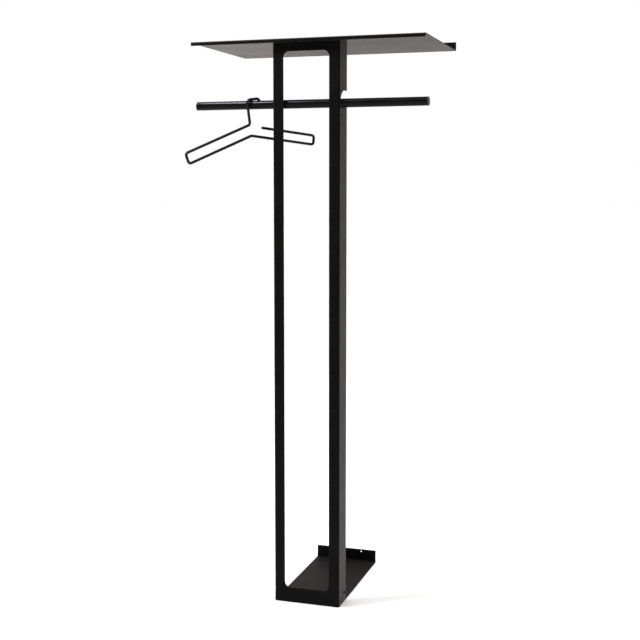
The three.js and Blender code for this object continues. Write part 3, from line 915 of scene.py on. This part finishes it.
def make_rack():
    coat = sheet_coat()
    settle(front_frame(), "front_frame", "rack", coat)
    settle(hat_shelf(), "hat_shelf", "rack", coat)
    settle(floor_plate(), "floor_plate", "rack", coat)
    screw_finish = black_screw()
    nut_finish = zinc_nut()
    up = (0, 0, 1)
    for i in range(1, 5):
        screw, nut = f"shelf_screw_{i}", f"shelf_nut_{i}"
        settle(button_screw(screw, up), screw, "rack", screw_finish)
        settle(hexagon_nut(nut, up), nut, "rack", nut_finish)
    plastic = cap_plastic()
    for name, side in (("left", -1), ("right", 1)):
        out = (side, 0, 0)
        screw, nut = f"floor_screw_{name}", f"floor_nut_{name}"
        settle(button_screw(screw, out), screw, "rack", screw_finish)
        settle(hexagon_nut(nut, out), nut, "rack", nut_finish)
        settle(rail_end_cap(name, side), f"rail_end_cap_{name}", "rail", plastic)
    settle(clothes_rail(), "clothes_rail", "rail", rail_coat())
    settle(coat_hanger(), "coat_hanger", "hanger", wire_coat())


# -------------------------------------------------------------------- studio

def make_camera():
    data = bpy.data.cameras.new("camera")
    data.sensor_width = 36
    data.lens = CAMERA_LENS
    data.shift_y = CAMERA_SHIFT
    camera = bpy.data.objects.new("camera", data)
    camera.location = CAMERA_PLACE
    camera.rotation_euler = (math.pi / 2 - CAMERA_DIP, 0, CAMERA_TURN)
    bpy.context.scene.collection.objects.link(camera)
    bpy.context.scene.camera = camera


def make_floor():
    corners = [(-1, -1), (1, -1), (1, 1), (-1, 1)]
    mesh = bpy.data.meshes.new("floor")
    mesh.from_pydata([(x * FLOOR_REACH, y * FLOOR_REACH, 0) for x, y in corners], [], [(0, 1, 2, 3)])
    mesh.materials.append(pale_floor())
    floor = bpy.data.objects.new("floor", mesh)
    bpy.context.scene.collection.objects.link(floor)


def softbox(name, place, target, size, power, color):
    """A soft area light that shines from place to target."""
    data = bpy.data.lights.new(name, "AREA")
    data.shape = "RECTANGLE"
    data.size, data.size_y = size
    data.energy = power
    data.color = color
    light = bpy.data.objects.new(name, data)
    light.location = place
    light.rotation_euler = (Vector(target) - Vector(place)).to_track_quat("-Z", "Y").to_euler()
    light.visible_camera = False
    bpy.context.scene.collection.objects.link(light)


def make_light():
    """A small cool key at the upper left for the rail, and a warm card low behind for the shelf."""
    softbox("key_softbox", (-0.95, -0.72, 2.85), (-0.2, -0.19, 1.47), (0.55, 0.3), 62, (0.84, 0.88, 1.0))
    softbox("low_rear_card", (-2.3, 3.2, 0.8), (-0.3, 0, 1.6), (2.0, 1.2), 9, (1.0, 0.93, 0.88))


def make_world():
    """White to the camera. As light: bright overhead, warm and softer low at the back, dim in front."""
    world = bpy.data.worlds.new("studio")
    world.use_nodes = True
    bpy.context.scene.world = world
    nodes = world.node_tree.nodes
    links = world.node_tree.links
    shown = nodes["Background"]
    shown.inputs["Color"].default_value = (1, 1, 1, 1)
    direction = nodes.new("ShaderNodeTexCoord").outputs["Generated"]
    split = nodes.new("ShaderNodeSeparateXYZ")
    links.new(direction, split.inputs["Vector"])

    def ramp(value, stops):
        """Colours against a value that runs from -1 to 1."""
        node = nodes.new("ShaderNodeValToRGB")
        node.color_ramp.interpolation = "EASE"
        for i, (position, color) in enumerate(stops):
            if i < 2:
                stop = node.color_ramp.elements[i]
                stop.position = (position + 1) / 2
            else:
                stop = node.color_ramp.elements.new((position + 1) / 2)
            stop.color = (*color, 1)
        spread = nodes.new("ShaderNodeMapRange")
        spread.inputs["From Min"].default_value = -1
        links.new(value, spread.inputs["Value"])
        links.new(spread.outputs["Result"], node.inputs["Fac"])
        return node.outputs["Color"]

    def join(how, first, second):
        node = nodes.new("ShaderNodeMix")
        node.data_type = "RGBA"
        node.blend_type = how
        node.inputs["Factor"].default_value = 1
        links.new(first, node.inputs["A"])
        links.new(second, node.inputs["B"])
        return node.outputs["Result"]

    around = ramp(split.outputs["Y"], [(-0.85, FRONT_GLOW), (0.45, BACK_GLOW)])
    height = ramp(split.outputs["Z"], [(0.12, (1, 1, 1)), (0.4, MIDDLE_GLOW)])
    overhead = ramp(split.outputs["Z"], [(0.62, (0, 0, 0)), (0.88, (1, 1, 1))])
    light = join("ADD", join("MULTIPLY", around, height), overhead)
    lighting = nodes.new("ShaderNodeBackground")
    lighting.inputs["Strength"].default_value = OVERHEAD_STRENGTH
    links.new(light, lighting.inputs["Color"])
    rays = nodes.new("ShaderNodeLightPath")
    chosen = nodes.new("ShaderNodeMixShader")
    links.new(rays.outputs["Is Camera Ray"], chosen.inputs["Fac"])
    links.new(lighting.outputs["Background"], chosen.inputs[1])
    links.new(shown.outputs["Background"], chosen.inputs[2])
    links.new(chosen.outputs["Shader"], nodes["World Output"].inputs["Surface"])


make_camera()
make_rack()
make_floor()
make_light()
make_world()
bpy.context.scene.view_settings.view_transform = "Standard"
